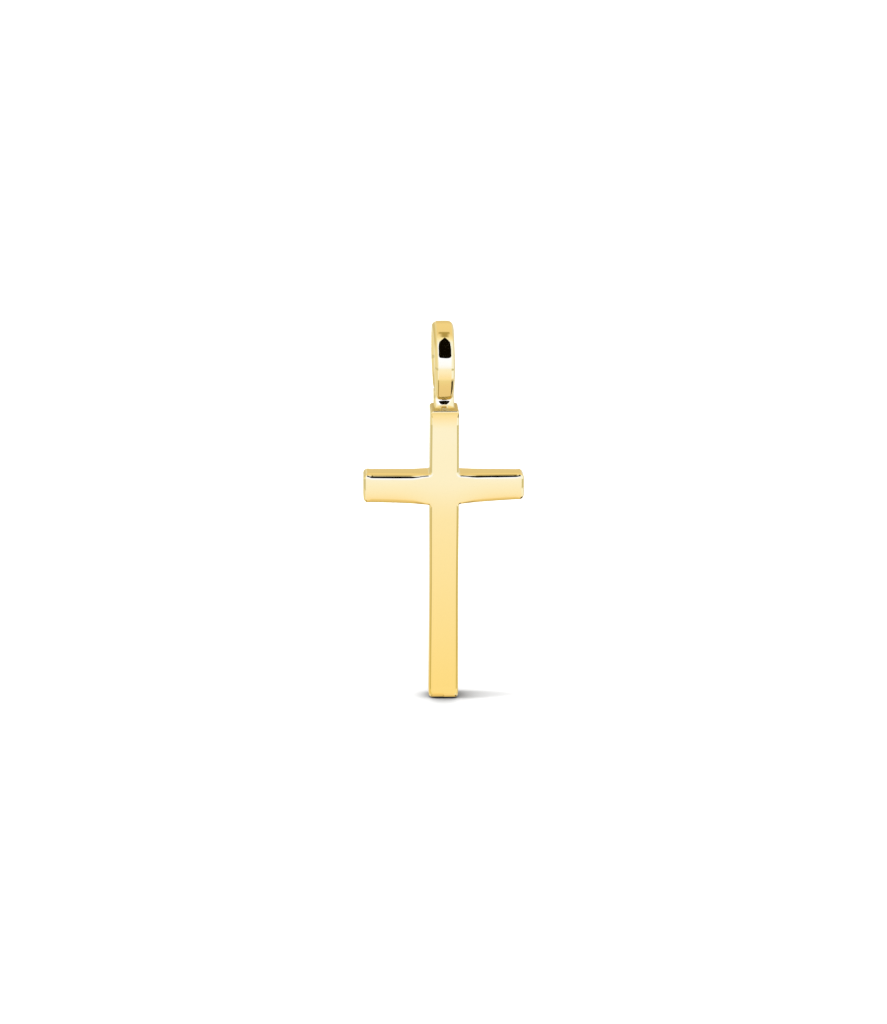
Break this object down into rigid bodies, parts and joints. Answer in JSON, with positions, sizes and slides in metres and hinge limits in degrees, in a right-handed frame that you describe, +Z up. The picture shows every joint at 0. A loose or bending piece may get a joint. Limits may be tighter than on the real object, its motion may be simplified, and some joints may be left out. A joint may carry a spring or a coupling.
{
  "type": "cross pendant",
  "caption": "Polished metal cross pendant of nearly square bars with soft edges, with a fixed oval bail soldered on edge to the top of its post.",
  "frame": {"origin": "the top of the bail's inside, in the middle of its width, where a chain bears", "axes": "+Z up the post, from the foot to the bail; -Y out of the front face; X along the arms, which is also the way a chain runs"},
  "size_m": [0.011, 0.0042, 0.0268],
  "materials": {
    "polished_gold": "mirror polished yellow gold"
  },
  "bodies": {
    "root": {"cross_pendant": "polished_gold"}
  },
  "joints": []
}
